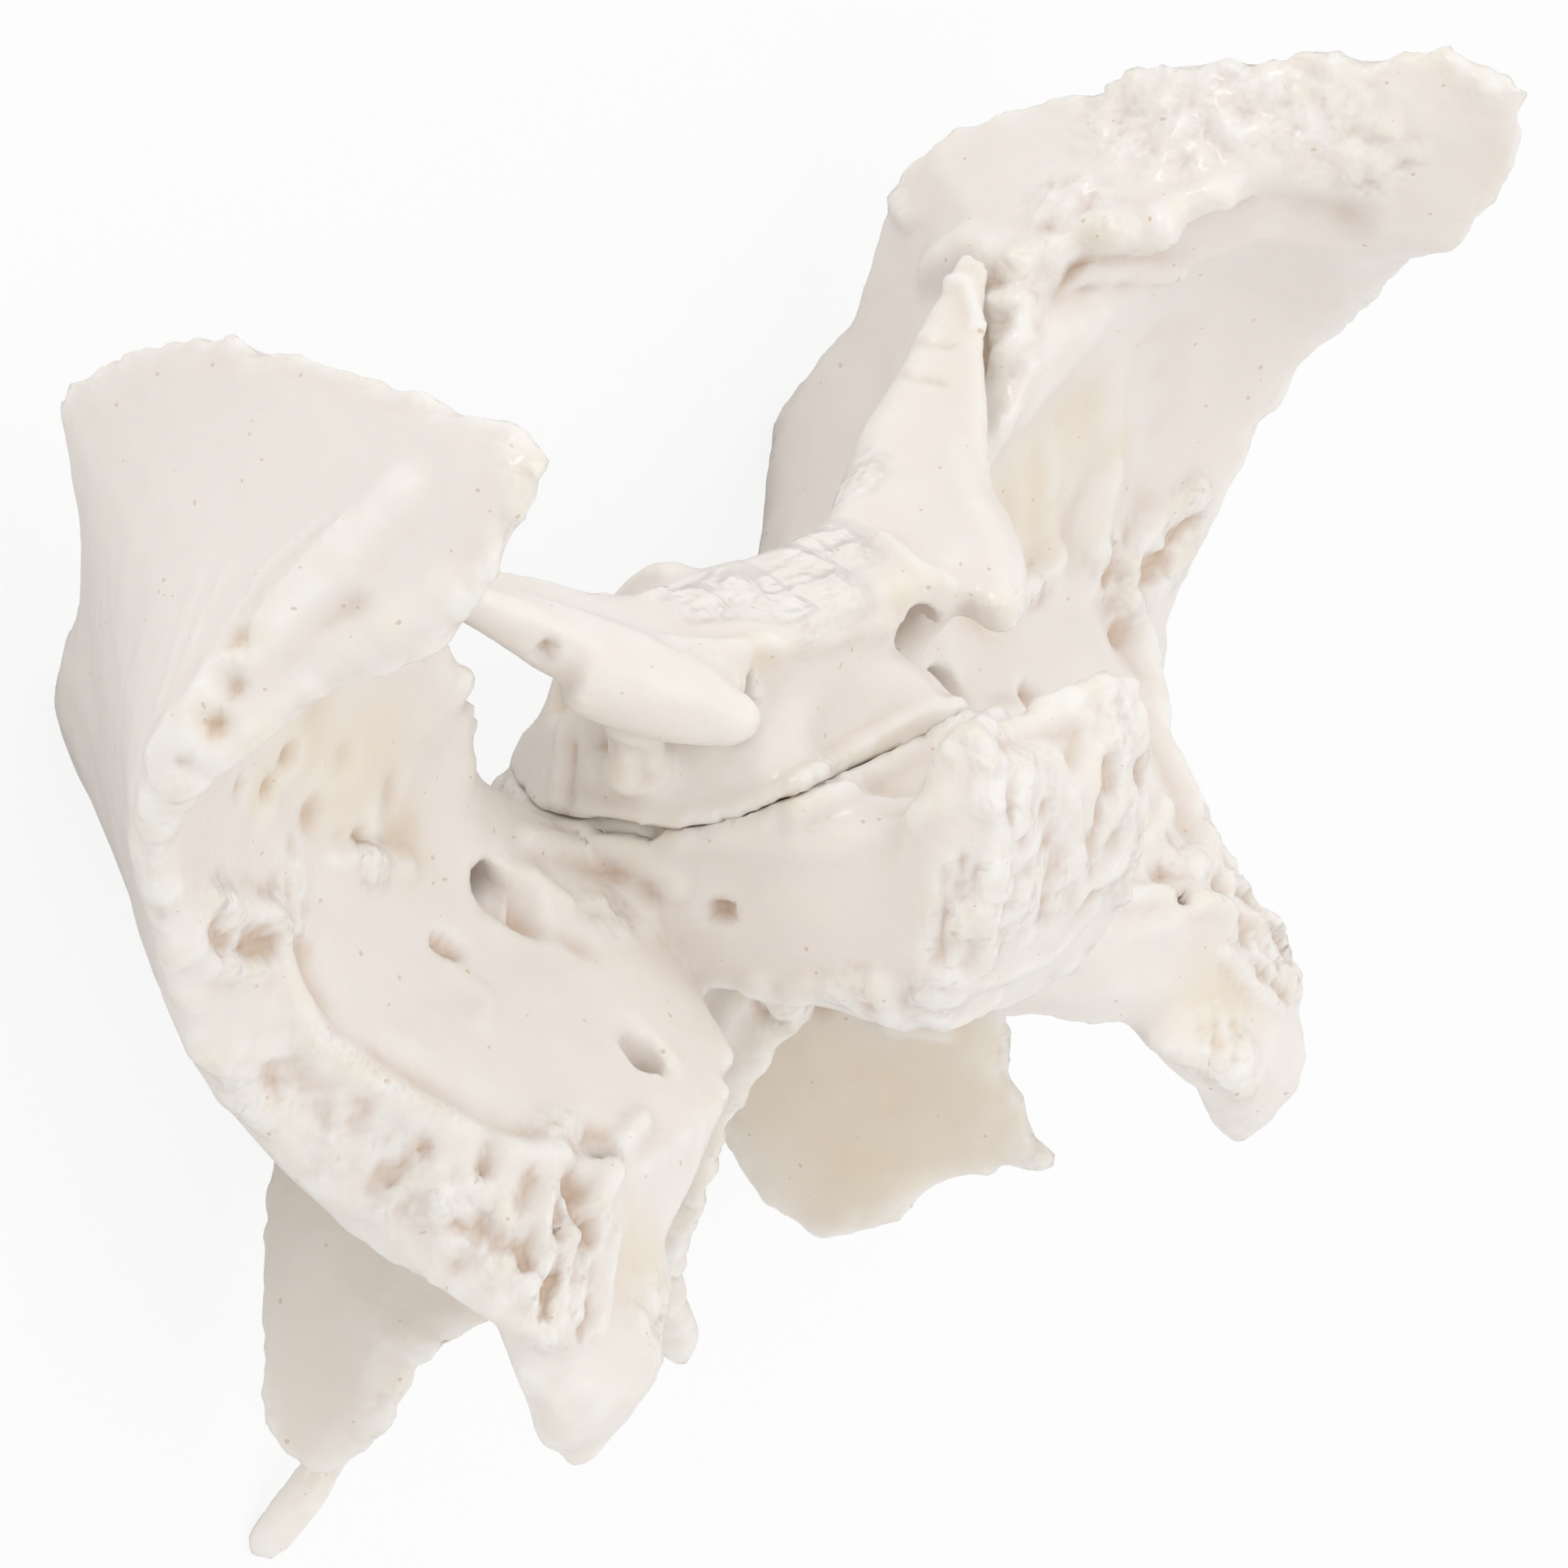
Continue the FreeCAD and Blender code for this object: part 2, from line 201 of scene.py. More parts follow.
# Strokes on the surface, each along pixels of the photograph: pixels, radius in
# millimetres, height in millimetres (sunk where it is below zero), and whether the other
# side of the bone has it too
LOWER_STROKES = (
    # crest between the temporal face and the squamous band, with its groove
    (((493, 607), (430, 672), (360, 745), (290, 825), (240, 885), (207, 933)), 2.2, 0.75, True),
    (((430, 760), (360, 820), (290, 880), (245, 935)), 2.0, -0.6, True),
    (((215, 975), (300, 900), (400, 810), (480, 770), (545, 730)), 1.8, 0.5, True),
    # fine lines beside the crest
    (((225, 900), (262, 800), (330, 700), (400, 640)), 0.5, 0.22, True),
    (((245, 905), (285, 820), (350, 730), (430, 650)), 0.5, 0.22, True),
    (((210, 880), (235, 790), (290, 690)), 0.5, 0.2, True),
    (((195, 880), (215, 800), (250, 710)), 0.6, 0.18, True),
    # pits of the groove
    (((300, 790),), 1.2, -0.7, True),
    (((283, 843),), 1.3, -0.9, True),
    (((262, 893),), 1.2, -0.8, True),
    (((224, 943),), 1.1, -0.9, True),
    (((198, 975),), 0.9, -0.5, True),
    # hollow cerebral face with its pits and its shiny knob
    (((420, 860), (500, 880), (545, 940), (520, 1010)), 4.5, -0.9, True),
    (((357, 933),), 1.2, -0.8, False),
    (((297, 970),), 1.0, -0.5, False),
    (((332, 972),), 1.1, -0.7, False),
    (((384, 1005),), 1.4, -0.6, False),
    (((443, 1030),), 1.2, -0.6, False),
    (((358, 1040),), 1.0, -0.4, False),
    (((490, 980),), 1.6, -0.5, False),
    (((430, 935),), 1.4, -0.3, False),
    (((400, 1056), (450, 1062), (505, 1065)), 1.3, 0.6, True),
    (((330, 1010), (370, 1075), (420, 1090)), 2.0, 0.4, True),
    # step of the squamous band
    (((335, 1130), (360, 1220), (390, 1290), (470, 1330), (540, 1375), (600, 1410), (690, 1425)),
     1.4, 0.7, True),
    (((380, 1180), (400, 1260), (460, 1300), (560, 1350), (640, 1390)), 1.8, -0.5, True),
    (((260, 1110), (300, 1110), (340, 1140)), 1.2, 0.6, True),
    (((270, 1150), (300, 1175), (330, 1160)), 1.4, -0.9, True),
    (((262, 1190), (320, 1195)), 0.9, 0.5, True),
    (((300, 1290), (360, 1260), (420, 1290)), 2.6, 0.6, True),
    (((330, 1380), (400, 1400), (470, 1430)), 1.2, 0.4, True),
    (((480, 1440), (520, 1420)), 1.0, -0.6, True),
    (((600, 1410), (596, 1440)), 0.8, -0.9, True),
    (((470, 1490), (500, 1455), (545, 1470), (540, 1500)), 0.8, 0.5, True),
    (((575, 1520), (600, 1510), (620, 1530)), 1.2, -0.9, True),
    (((560, 1560), (585, 1540), (600, 1545)), 0.9, -0.7, True),
    (((655, 1450), (640, 1500), (650, 1560)), 0.7, -0.6, True),
    (((680, 1470), (668, 1540), (655, 1610)), 0.7, 0.6, True),
    (((705, 1480), (695, 1560), (690, 1630)), 0.7, 0.6, True),
    (((692, 1475), (682, 1550), (672, 1620)), 0.5, -0.6, True),
    (((712, 1455), (716, 1500), (728, 1520)), 1.1, -1.6, True),
    (((745, 1500), (725, 1560), (712, 1620)), 0.7, 0.6, True),
    (((735, 1530), (722, 1590), (716, 1640)), 0.6, -0.6, True),
    (((765, 1520), (750, 1580), (738, 1640)), 0.7, 0.5, True),
    (((735, 1394), (720, 1410)), 1.4, -0.7, True),
    # round foramen with its groove, the small holes and the tongue of the body
    (((625, 1115), (650, 1120)), 2.2, -1.3, True),
    (((650, 1120), (690, 1145), (715, 1160)), 1.6, -0.6, True),
    (((620, 1076), (660, 1080), (700, 1110)), 1.0, 0.5, True),
    (((563, 1170), (545, 1160)), 0.9, -1.1, True),
    (((880, 1124), (890, 1124)), 0.9, -1.3, True),
    (((648, 1030), (700, 1040), (760, 1050), (818, 1075), (830, 1090)), 1.2, 0.6, True),
    (((690, 1060), (750, 1075), (800, 1100)), 1.0, -0.15, True),
    (((738, 1100), (775, 1100), (790, 1140)), 1.4, 0.5, True),
    (((590, 1260), (600, 1230), (560, 1200)), 1.2, 0.2, True),
    # lip of the seam
    (((672, 1014), (740, 1026), (833, 1036), (900, 1026), (980, 996), (1060, 950), (1150, 890)),
     0.8, 0.28, False),
    (((980, 1002), (1060, 958), (1130, 912), (1190, 886)), 0.9, 0.45, False),
    # short open stretch of the seam
    (((742, 1009), (770, 1014), (800, 1020)), 0.9, -1.7, False),
    # hollow seat of the fossa and the flank of the body
    (((1030, 960), (1090, 985), (1130, 960)), 4.0, -0.5, False),
    (((890, 1025), (1000, 1045), (1100, 1020), (1160, 980)), 1.4, 0.35, True),
    # rough rear rim under the body
    (((892, 1275), (905, 1240), (935, 1210), (960, 1240), (1000, 1215), (1080, 1215)), 1.2, 0.6, True),
    (((935, 1245), (960, 1262), (1010, 1240)), 1.0, -0.5, True),
    (((1090, 1215), (1100, 1262), (1160, 1268), (1220, 1232)), 1.2, 0.5, True),
    # upright grooves of the dorsum's flank and its rough rear face
    (((1165, 1080), (1160, 1140), (1155, 1190)), 0.7, -0.6, False),
    (((1185, 1060), (1182, 1110)), 0.6, -0.6, False),
    (((1205, 1070), (1198, 1110)), 0.6, -0.6, False),
    (((1200, 915), (1225, 960), (1230, 1030), (1215, 1180)), 1.0, 0.6, False),
    (((1192, 912), (1240, 880), (1310, 862), (1385, 838)), 1.1, 0.7, False),
    (((1240, 905), (1290, 895), (1335, 905), (1330, 930)), 1.6, -0.9, False),
    (((1262, 950), (1255, 1010)), 1.2, 0.5, False),
    (((1290, 1000), (1300, 1060), (1290, 1130)), 1.3, -0.5, False),
    (((1320, 980), (1330, 1060), (1325, 1110)), 0.9, 0.5, False),
    (((1370, 945), (1372, 965)), 1.1, -0.9, False),
    (((1412, 945), (1414, 965)), 1.0, -0.9, False),
    (((1360, 985), (1350, 1040)), 0.8, -0.5, False),
    (((1395, 985), (1380, 1050)), 0.8, 0.5, False),
    (((1340, 1090), (1400, 1050), (1440, 990)), 1.0, 0.5, False),
    (((1150, 1200), (1210, 1210), (1290, 1180), (1345, 1120)), 0.9, 0.4, False),
    # right wing: overhanging rim, the hollow under it and the knobs of the frontal face
    (((1150, 330), (1190, 300), (1250, 318), (1305, 314), (1362, 280), (1410, 292), (1500, 245)),
     1.9, 0.9, True),
    (((1305, 314),), 1.4, 0.8, True),
    (((1362, 285),), 1.3, 0.9, True),
    (((1250, 332),), 1.2, 0.7, True),
    (((1430, 280),), 1.3, 0.6, True),
    (((1205, 345),), 1.1, 0.7, True),
    (((1335, 332),), 1.3, -0.9, True),
    (((1480, 268),), 1.7, -0.7, True),
    (((1320, 345), (1400, 340), (1470, 300), (1560, 265), (1650, 275)), 2.6, -1.2, True),
    (((1280, 390), (1350, 370)), 2.0, -0.6, False),
    (((1350, 350), (1410, 345), (1450, 335)), 0.8, 0.6, True),
    (((1215, 375), (1260, 370), (1265, 410), (1235, 440)), 1.2, 0.9, False),
    (((1195, 400), (1200, 440), (1192, 465)), 1.3, -1.3, False),
    (((1250, 500), (1240, 620), (1230, 700)), 3.0, -0.5, False),
    (((1370, 470), (1365, 560), (1350, 650)), 2.6, 0.5, False),
    (((1430, 420), (1430, 520), (1410, 610)), 2.6, -0.4, False),
    (((1300, 560), (1290, 640), (1290, 700)), 1.8, 0.3, False),
    (((1340, 660), (1350, 700), (1330, 740)), 1.5, 0.4, False),
    (((1395, 765), (1385, 780)), 1.0, -0.7, False),
    (((1375, 710), (1365, 712)), 0.9, -0.5, False),
    (((1445, 635), (1440, 650)), 1.0, -0.5, False),
    (((1090, 230), (1120, 270), (1110, 250)), 0.9, 0.6, True),
    (((1080, 190), (1100, 240)), 1.0, 0.5, True),
    # crest of the right squamous rim and the hollow behind it
    (((1385, 1105), (1450, 1102), (1520, 1120), (1600, 1172)), 0.9, 0.8, True),
    (((1400, 1150), (1480, 1180), (1530, 1250), (1500, 1320)), 3.2, -0.5, True),
)

UPPER_STROKES = (
    # narrow mouth of the left optic canal
    (((925, 838), (930, 850)), 1.1, 0.5, False),
    # flank of the body with its bulge and upright grooves
    (((690, 862),), 1.4, -0.9, True),
    (((668, 808), (674, 800)), 0.8, -0.9, False),
    (((740, 950), (765, 960)), 1.6, 0.6, True),
    (((745, 920), (790, 935), (795, 965)), 0.9, -0.45, True),
    (((705, 920), (703, 990)), 0.6, -0.4, True),
    (((690, 900), (685, 985)), 0.5, 0.3, True),
    # border behind the jugum, the knobs of the groove and the small bumps
    (((830, 790), (900, 795), (1000, 793), (1060, 775), (1095, 770)), 1.0, 0.35, False),
    (((905, 845), (925, 855)), 0.9, 0.35, False),
    (((940, 810), (960, 880)), 1.6, -0.3, False),
    # lip of the seam
    (((672, 992), (740, 1000), (833, 1012), (900, 1000), (980, 968), (1060, 920), (1150, 862)),
     0.8, 0.28, False),
    (((980, 968), (1060, 922), (1130, 884), (1180, 866)), 0.9, 0.4, False),
    # wrinkles of the jugum
    (((800, 735), (850, 715), (910, 700)), 0.7, 0.35, False),
    (((830, 745), (900, 735), (980, 740)), 0.6, 0.25, False),
    (((850, 765), (920, 760), (1000, 770)), 0.6, -0.25, False),
    # steps of the right lesser wing and the edge of its clinoid
    (((1150, 350), (1190, 345), (1205, 400)), 0.8, 0.5, False),
    (((1125, 420), (1170, 425)), 0.6, -0.3, False),
    (((1110, 460), (1160, 470)), 0.6, -0.3, False),
    (((1090, 662), (1130, 700), (1180, 730), (1230, 740)), 0.9, 0.35, False),
)

# Rough zones, each round the place that shows at a pixel: pixel, radius in millimetres
LOWER_ROUGH = (
    ((270, 1130), 3.0), ((290, 1170), 3.0), ((330, 1330), 4.0), ((430, 1390), 4.0),
    ((500, 1450), 4.5), ((580, 1500), 4.5), ((640, 1550), 4.0), ((700, 1600), 3.5),
    ((750, 1130), 2.6), ((960, 1235), 3.0), ((1060, 1225), 3.0), ((1150, 1240), 3.0),
    ((1250, 960), 4.5), ((1290, 1080), 5.0), ((1380, 960), 4.5), ((1390, 1050), 4.5),
    ((1200, 1130), 3.5), ((1390, 130), 5.0), ((1450, 150), 5.0), ((1540, 120), 5.5),
    ((1640, 140), 5.0), ((1700, 190), 4.0), ((1240, 350), 3.5), ((1320, 250), 4.0),
    ((1460, 1060), 3.0), ((450, 1060), 2.6), ((1370, 700), 4.0), ((1520, 1300), 4.5),
)
UPPER_ROUGH = (((860, 740), 3.5), ((960, 740), 4.0), ((1040, 600), 4.0), ((1000, 700), 3.5))

# Zones of painted warm shade, on the hollows and plates that lie in shade, given in the same way
LOWER_WARM_SHADE = (
    ((450, 950), 7.0), ((390, 900), 5.0), ((500, 1030), 4.0), ((980, 1330), 8.0),
    ((1090, 1400), 10.0), ((1200, 1400), 8.0), ((1180, 1300), 7.0), ((1500, 1240), 5.0),
    ((1210, 430), 2.5), ((260, 900), 2.5), ((300, 800), 2.0), ((320, 1850), 4.0),
    ((330, 970), 3.0),
)
UPPER_WARM_SHADE = (((1110, 730), 2.5), ((690, 860), 2.5), ((760, 960), 2.5))

# Smooth tips of the hamuli and crests of the greater wings, which have no lobes
PLAIN_SPOTS = (((430, 672), 4.0), ((360, 745), 4.5), ((290, 825), 4.5), ((235, 890), 4.0),
               ((395, 1800), 5.0), ((350, 1850), 6.0), ((310, 1880), 5.0), ((845, 1680), 6.0),
               ((820, 1640), 6.0))

# Saddle between the jugum and the seam, which is levelled out
LEVEL_SPOTS = (((1000, 860), 8.0), ((1080, 850), 8.0), ((1110, 870), 6.0), ((1080, 900), 5.0))

# Each casting: its solid and its piece, the setting with the size of its mesh cells, its
# swellings, strokes and zones, its share of the lobes and knobs, and of the fine wrinkles
Casting = namedtuple("Casting", "node piece cell swellings strokes rough warm uneven wrinkled")
CASTINGS = (
    Casting("lower_casting", "lower_bone", "lower_cell", (), LOWER_STROKES, LOWER_ROUGH,
            LOWER_WARM_SHADE, uneven=1.0, wrinkled=0.0),
    Casting("upper_casting", "upper_bone", "upper_cell", (CLINOID_ROOT,), UPPER_STROKES,
            UPPER_ROUGH, UPPER_WARM_SHADE, uneven=0.3, wrinkled=1.0),
)


def bone_turn():
    return Matrix.Rotation(LAY_ANGLE, 3, "X")


def place(point):
    """A point of the bone's frame in millimetres as a world point in metres."""
    return (bone_turn() @ Vector(point) + Vector(LAY_SHIFT)) * MM


def picture_axes():
    """The picture's right, up and towards-the-viewer directions in the world."""
    turn = bone_turn()
    right = (turn @ Vector(PICTURE_RIGHT)).normalized()
    up = turn @ Vector(PICTURE_UP)
    up = (up - right * up.dot(right)).normalized()
    return right, up, right.cross(up)


def sight(pixel):
    """The direction in which the camera sees a pixel of the photograph."""
    right, up, back = picture_axes()
    return (right * (pixel[0] - PHOTO_MIDDLE) + up * (PHOTO_MIDDLE - pixel[1])
            - back * CAMERA_FOCAL_PX).normalized()


class SphenoidLooks(bpy.types.PropertyGroup):
    """Colours and finish of the cast plastic."""

    plastic: bpy.props.FloatVectorProperty(
        name="Plastic", description="Ivory of the cast plastic", subtype="COLOR",
        size=3, min=0.0, max=1.0, default=(0.86, 0.80, 0.75))
    # Painted highlight: a whiter colour on the raised edges and knobs
    rim_highlight: bpy.props.FloatVectorProperty(
        name="Rim highlight", description="Painted highlight on the edges and knobs", subtype="COLOR",
        size=3, min=0.0, max=1.0, default=(0.92, 0.885, 0.84))
    # Warm tint where the casting is thin, also used as painted warm shade in the listed shaded zones
    # and for the flecks
    warm_tint: bpy.props.FloatVectorProperty(
        name="Thin plate", description="Warmer plastic where the casting is thin", subtype="COLOR",
        size=3, min=0.0, max=1.0, default=(0.83, 0.73, 0.58))
    # Painted shade: tan darkening in the deep pits; the same tan also colours the random specks
    speck_and_pit_shade: bpy.props.FloatVectorProperty(
        name="Speck and pit shade", description="Tan in the deep pits", subtype="COLOR",
        size=3, min=0.0, max=1.0, default=(0.62, 0.42, 0.27))
    gloss: bpy.props.FloatProperty(
        name="Roughness", description="Roughness of the moulded skin",
        min=0.0, max=1.0, default=0.36)


class SphenoidForm(bpy.types.PropertyGroup):
    """Sizes of the modelled surface."""

    lower_cell: bpy.props.FloatProperty(
        name="Lower cell", description="Size of the lower casting's mesh cells", unit="LENGTH",
        min=0.0002, max=0.002, default=0.00051)
    upper_cell: bpy.props.FloatProperty(
        name="Upper cell", description="Size of the upper casting's mesh cells", unit="LENGTH",
        min=0.0002, max=0.002, default=0.00042)
    edge_lobes: bpy.props.FloatProperty(
        name="Edge lobes", description="Unevenness of the thin edges", unit="LENGTH",
        min=0.0, max=0.006, default=0.0030)
    knobs: bpy.props.FloatProperty(
        name="Knobs", description="Height of the knobs in the rough zones", unit="LENGTH",
        min=0.0, max=0.003, default=0.0011)


def only(obj):
    bpy.ops.object.select_all(action="DESELECT")
    obj.select_set(True)
    bpy.context.view_layer.objects.active = obj


def apply(obj, kind, name, **settings):
    only(obj)
    modifier = obj.modifiers.new(name, kind)
    for key, value in settings.items():
        setattr(modifier, key, value)
    bpy.ops.object.modifier_apply(modifier=modifier.name)


def copy_of(node, name):
    """A free copy of a CAD node's mesh with its split vertices joined."""
    source = frame["nodes"][node]
    only(source)
    bpy.ops.object.duplicate()
    piece = bpy.context.active_object
    piece.name = name
    piece.data.name = name
    bpy.ops.object.parent_clear(type="CLEAR_KEEP_TRANSFORM")
    bpy.ops.object.mode_set(mode="EDIT")
    bpy.ops.mesh.select_all(action="SELECT")
    bpy.ops.mesh.remove_doubles(threshold=DOUBLES)
    bpy.ops.object.mode_set(mode="OBJECT")
    bpy.ops.object.transform_apply(location=True, rotation=True, scale=True)
    piece.data.materials.clear()
    return piece


def swell(piece, runs):
    """Join runs of balls to a piece, on both sides, before it is softened."""
    balls = []
    for run in runs:
        for start, end in zip(run, run[1:]):
            for share in BALL_SHARES:
                x, y, z, radius = [a + (b - a) * share for a, b in zip(start, end)]
                for side in (1.0, -1.0):
                    bpy.ops.mesh.primitive_ico_sphere_add(
                        subdivisions=2, radius=radius * MM, location=place((x * side, y, z)))
                    balls.append(bpy.context.active_object)
    if balls:
        bpy.ops.object.select_all(action="DESELECT")
        for ball in balls:
            ball.select_set(True)
        piece.select_set(True)
        bpy.context.view_layer.objects.active = piece
        bpy.ops.object.join()


def surface(piece):
    """The vertices and normals of a piece as arrays."""
    mesh = piece.data
    count = len(mesh.vertices)
    points = np.empty(count * 3, np.float32)
    mesh.vertices.foreach_get("co", points)
    normals = np.empty(count * 3, np.float32)
    mesh.vertex_normals.foreach_get("vector", normals)
    return points.reshape(-1, 3), normals.reshape(-1, 3)


def skin_tree(piece):
    return BVHTree.FromObject(piece, bpy.context.evaluated_depsgraph_get())


def trace(tree, pixels):
    """Places and normals of the surface that shows along a line of pixels."""
    eye = place(CAMERA_PLACE)
    seen = []
    for start, end in zip(pixels, pixels[1:] or pixels):
        steps = max(int(math.dist(start, end) / TRACE_STEP), 1)
        for step in range(steps + 1):
            share = step / steps
            pixel = [a + (b - a) * share for a, b in zip(start, end)]
            spot, normal, _, _ = tree.ray_cast(eye, sight(pixel))
            if spot is not None:
                seen.append((np.array(spot), np.array(normal)))
    return seen


def across(seen):
    """The same places on the other side of the bone."""
    flip = np.array((-1.0, 1.0, 1.0))
    return [(spot * flip, normal * flip) for spot, normal in seen]


def closeness(points, normals, seen, radius, one_side=True):
    """How near each vertex lies to a traced line, by choice only on the line's side."""
    weights = np.zeros(len(points), np.float32)
    for spot, normal in seen:
        near = np.nonzero(np.all(np.abs(points - spot) < radius, axis=1))[0]
        if not len(near):
            continue
        share = np.linalg.norm(points[near] - spot, axis=1) / radius
        fall = np.clip(1.0 - share ** 2, 0.0, 1.0) ** 2
        if one_side:
            fall = fall * np.clip(normals[near] @ normal * 2.0, 0.0, 1.0)
        weights[near] = np.maximum(weights[near], fall)
    return weights


def weigh(piece, name, weights):
    """Store weights as a vertex group and give its name."""
    group = piece.vertex_groups.new(name=name)
    for index in np.nonzero(weights > WEIGHT_LEAST)[0]:
        group.add([int(index)], float(weights[index]), "REPLACE")
    return name


def push(piece, name, weights, height):
    """Raise or sink a weighted part of the surface along its normals."""
    apply(piece, "DISPLACE", name, vertex_group=weigh(piece, name, weights), mid_level=0.0,
          strength=height)


def roughen(piece, name, weights, grain, depth, height):
    """Break up a weighted part of the surface with a cloudy pattern."""
    texture = bpy.data.textures.new(name, "CLOUDS")
    texture.noise_scale = grain
    texture.noise_depth = depth
    apply(piece, "DISPLACE", name, vertex_group=weigh(piece, name, weights), mid_level=0.5,
          strength=height, texture=texture, texture_coords="LOCAL")


def neighbours_mean(mesh, values, rounds):
    """Values of the vertices averaged over their neighbours a number of times."""
    edges = np.empty(len(mesh.edges) * 2, np.int32)
    mesh.edges.foreach_get("vertices", edges)
    first, second = edges.reshape(-1, 2).T
    count = np.bincount(edges, minlength=len(values)).astype(np.float32)
    for _ in range(rounds):
        total = np.zeros_like(values)
        for axis in range(values.shape[1]):
            total[:, axis] = (np.bincount(first, values[second, axis], len(values))
                              + np.bincount(second, values[first, axis], len(values)))
        values = (values + total / count[:, None]) / 2.0
    return values


def relief(piece, rounds):
    """How far each vertex stands out of its softened surroundings, in metres."""
    points, normals = surface(piece)
    soft = neighbours_mean(piece.data, points.copy(), rounds)
    return np.einsum("ij,ij->i", points - soft, normals)


def thickness(piece):
    """The depth of material under each vertex, in metres."""
    tree = skin_tree(piece)
    points, normals = surface(piece)
    depth = np.full(len(points), THICKNESS_REACH, np.float32)
    for index in range(len(points)):
        inward = Vector(-normals[index])
        start = Vector(points[index]) + inward * THICKNESS_SKIN
        far = tree.ray_cast(start, inward, THICKNESS_REACH)[3]
        if far is not None:
            depth[index] = far
    return depth


def paint(piece, name, values):
    """Store a value for each vertex as an attribute for the material."""
    mask = piece.data.attributes.new(name, "FLOAT", "POINT")
    mask.data.foreach_set("value", np.ascontiguousarray(np.clip(values, 0.0, 1.0), np.float32))


def keep_in_box(piece, low, high):
    """Pull back what stands out of the solid model's box."""
    points, _ = surface(piece)
    inside = np.clip(points, np.array(low), np.array(high))
    piece.data.vertices.foreach_set("co", inside.ravel())
    piece.data.update()


def zones(tree, points, normals, spots, one_side=True):
    """The nearness of each vertex to the zones around some pixels, on both sides."""
    zone = np.zeros(len(points), np.float32)
    for pixel, radius in spots:
        seen = trace(tree, (pixel,))
        seen = seen + across(seen)
        near = closeness(points, normals, seen, radius * MM, one_side)
        zone = np.maximum(zone, near)
    return zone


def clearance(piece, tree):
    """How clear each vertex is of the other casting: 0 at the seam, 1 away from it."""
    points, _ = surface(piece)
    gap = np.array([tree.find_nearest(Vector(point))[3] for point in points])
    return np.clip(gap / SEAM_REACH, 0.0, 1.0)


def soften(piece, name, rounds, weights=None):
    """Smooth a piece, by choice only where it is weighted."""
    settings = {"factor": 0.5, "iterations": rounds}
    if weights is not None:
        settings["vertex_group"] = weigh(piece, name, weights)
    apply(piece, "SMOOTH", name, **settings)


def thin_edges(piece):
    """The nearness of each vertex to a thin edge."""
    edge = np.clip(relief(piece, EDGE_ROUNDS) / EDGE_RELIEF - EDGE_START, 0.0, 1.0)
    return neighbours_mean(piece.data, edge[:, None].astype(np.float32), EDGE_BLUR)[:, 0]


def draw_strokes(piece, tree, points, normals, strokes):
    """Raise and sink the surface along the strokes."""
    raised = np.zeros(len(points), np.float32)
    for pixels, radius, height, mirrored in strokes:
        seen = trace(tree, pixels)
        if mirrored:
            seen = seen + across(seen)
        weights = closeness(points, normals, seen, radius * STROKE_WIDTH * MM)
        raised += weights * height * STROKE_HEIGHT
    top = float(np.abs(raised).max())
    push(piece, "raised", np.clip(raised, 0.0, None) / top, top * MM)
    push(piece, "sunk", np.clip(-raised, 0.0, None) / top, -top * MM)


def detail(piece, casting, free):
    """Draw the strokes, knobs and lobed edges of a softened casting; give its rough zones and its
    zones of painted warm shade.
    """
    form = bpy.context.scene.sphenoid_form
    points, normals = surface(piece)
    level = zones(skin_tree(piece), points, normals, LEVEL_SPOTS)
    soften(piece, "level", LEVEL_ROUNDS, level * free)
    tree = skin_tree(piece)
    points, normals = surface(piece)
    plain = zones(tree, points, normals, PLAIN_SPOTS, one_side=False)
    edge = thin_edges(piece) * free * casting.uneven * (1.0 - plain)
    rough = np.clip(zones(tree, points, normals, casting.rough) * ZONE_GAIN, 0.0, 1.0)
    draw_strokes(piece, tree, points, normals, casting.strokes)
    roughen(piece, "lobes", edge, LOBE_GRAIN, 1, form.edge_lobes)
    roughen(piece, "knobs", rough * free * casting.uneven, KNOB_GRAIN, 2, form.knobs)
    roughen(piece, "ripple", free, RIPPLE_GRAIN, 2, RIPPLE_HEIGHT)
    soften(piece, "even", EVEN_ROUNDS)
    return np.clip(rough + edge, 0.0, 1.0), zones(tree, points, normals, casting.warm)


def paint_masks(piece, casting, rough, warm):
    """Store where the casting gets painted highlights on its rims and knobs, painted shade in its
    pits, a warm tint where it is thin, painted warm shade in its listed zones, and rough and wrinkled
    skin.
    """
    bumps = relief(piece, MASK_ROUNDS)
    warm_tint = np.clip((WARM_FROM - thickness(piece)) / WARM_OVER, 0.0, 1.0)
    # Painted highlight on the raised rims and knobs, and more of it in the rough zones
    paint(piece, "rim_highlight", bumps / HIGHLIGHT_RELIEF + HIGHLIGHT_ON_ROUGH * rough)
    # Painted shade in the sunken pits
    paint(piece, "pit_shade", -bumps / PIT_SHADE_RELIEF - PIT_SHADE_START)
    paint(piece, "rough", rough)
    # Warm tint where the casting is thin, plus painted warm shade in the listed zones
    paint(piece, "warm_tint", WARM_SHARE * warm_tint + warm)
    paint(piece, "wrinkled", casting.wrinkled * rough)


def new_material(name):
    material = bpy.data.materials.new(name)
    material.use_nodes = True
    return material, material.node_tree.nodes, material.node_tree.links


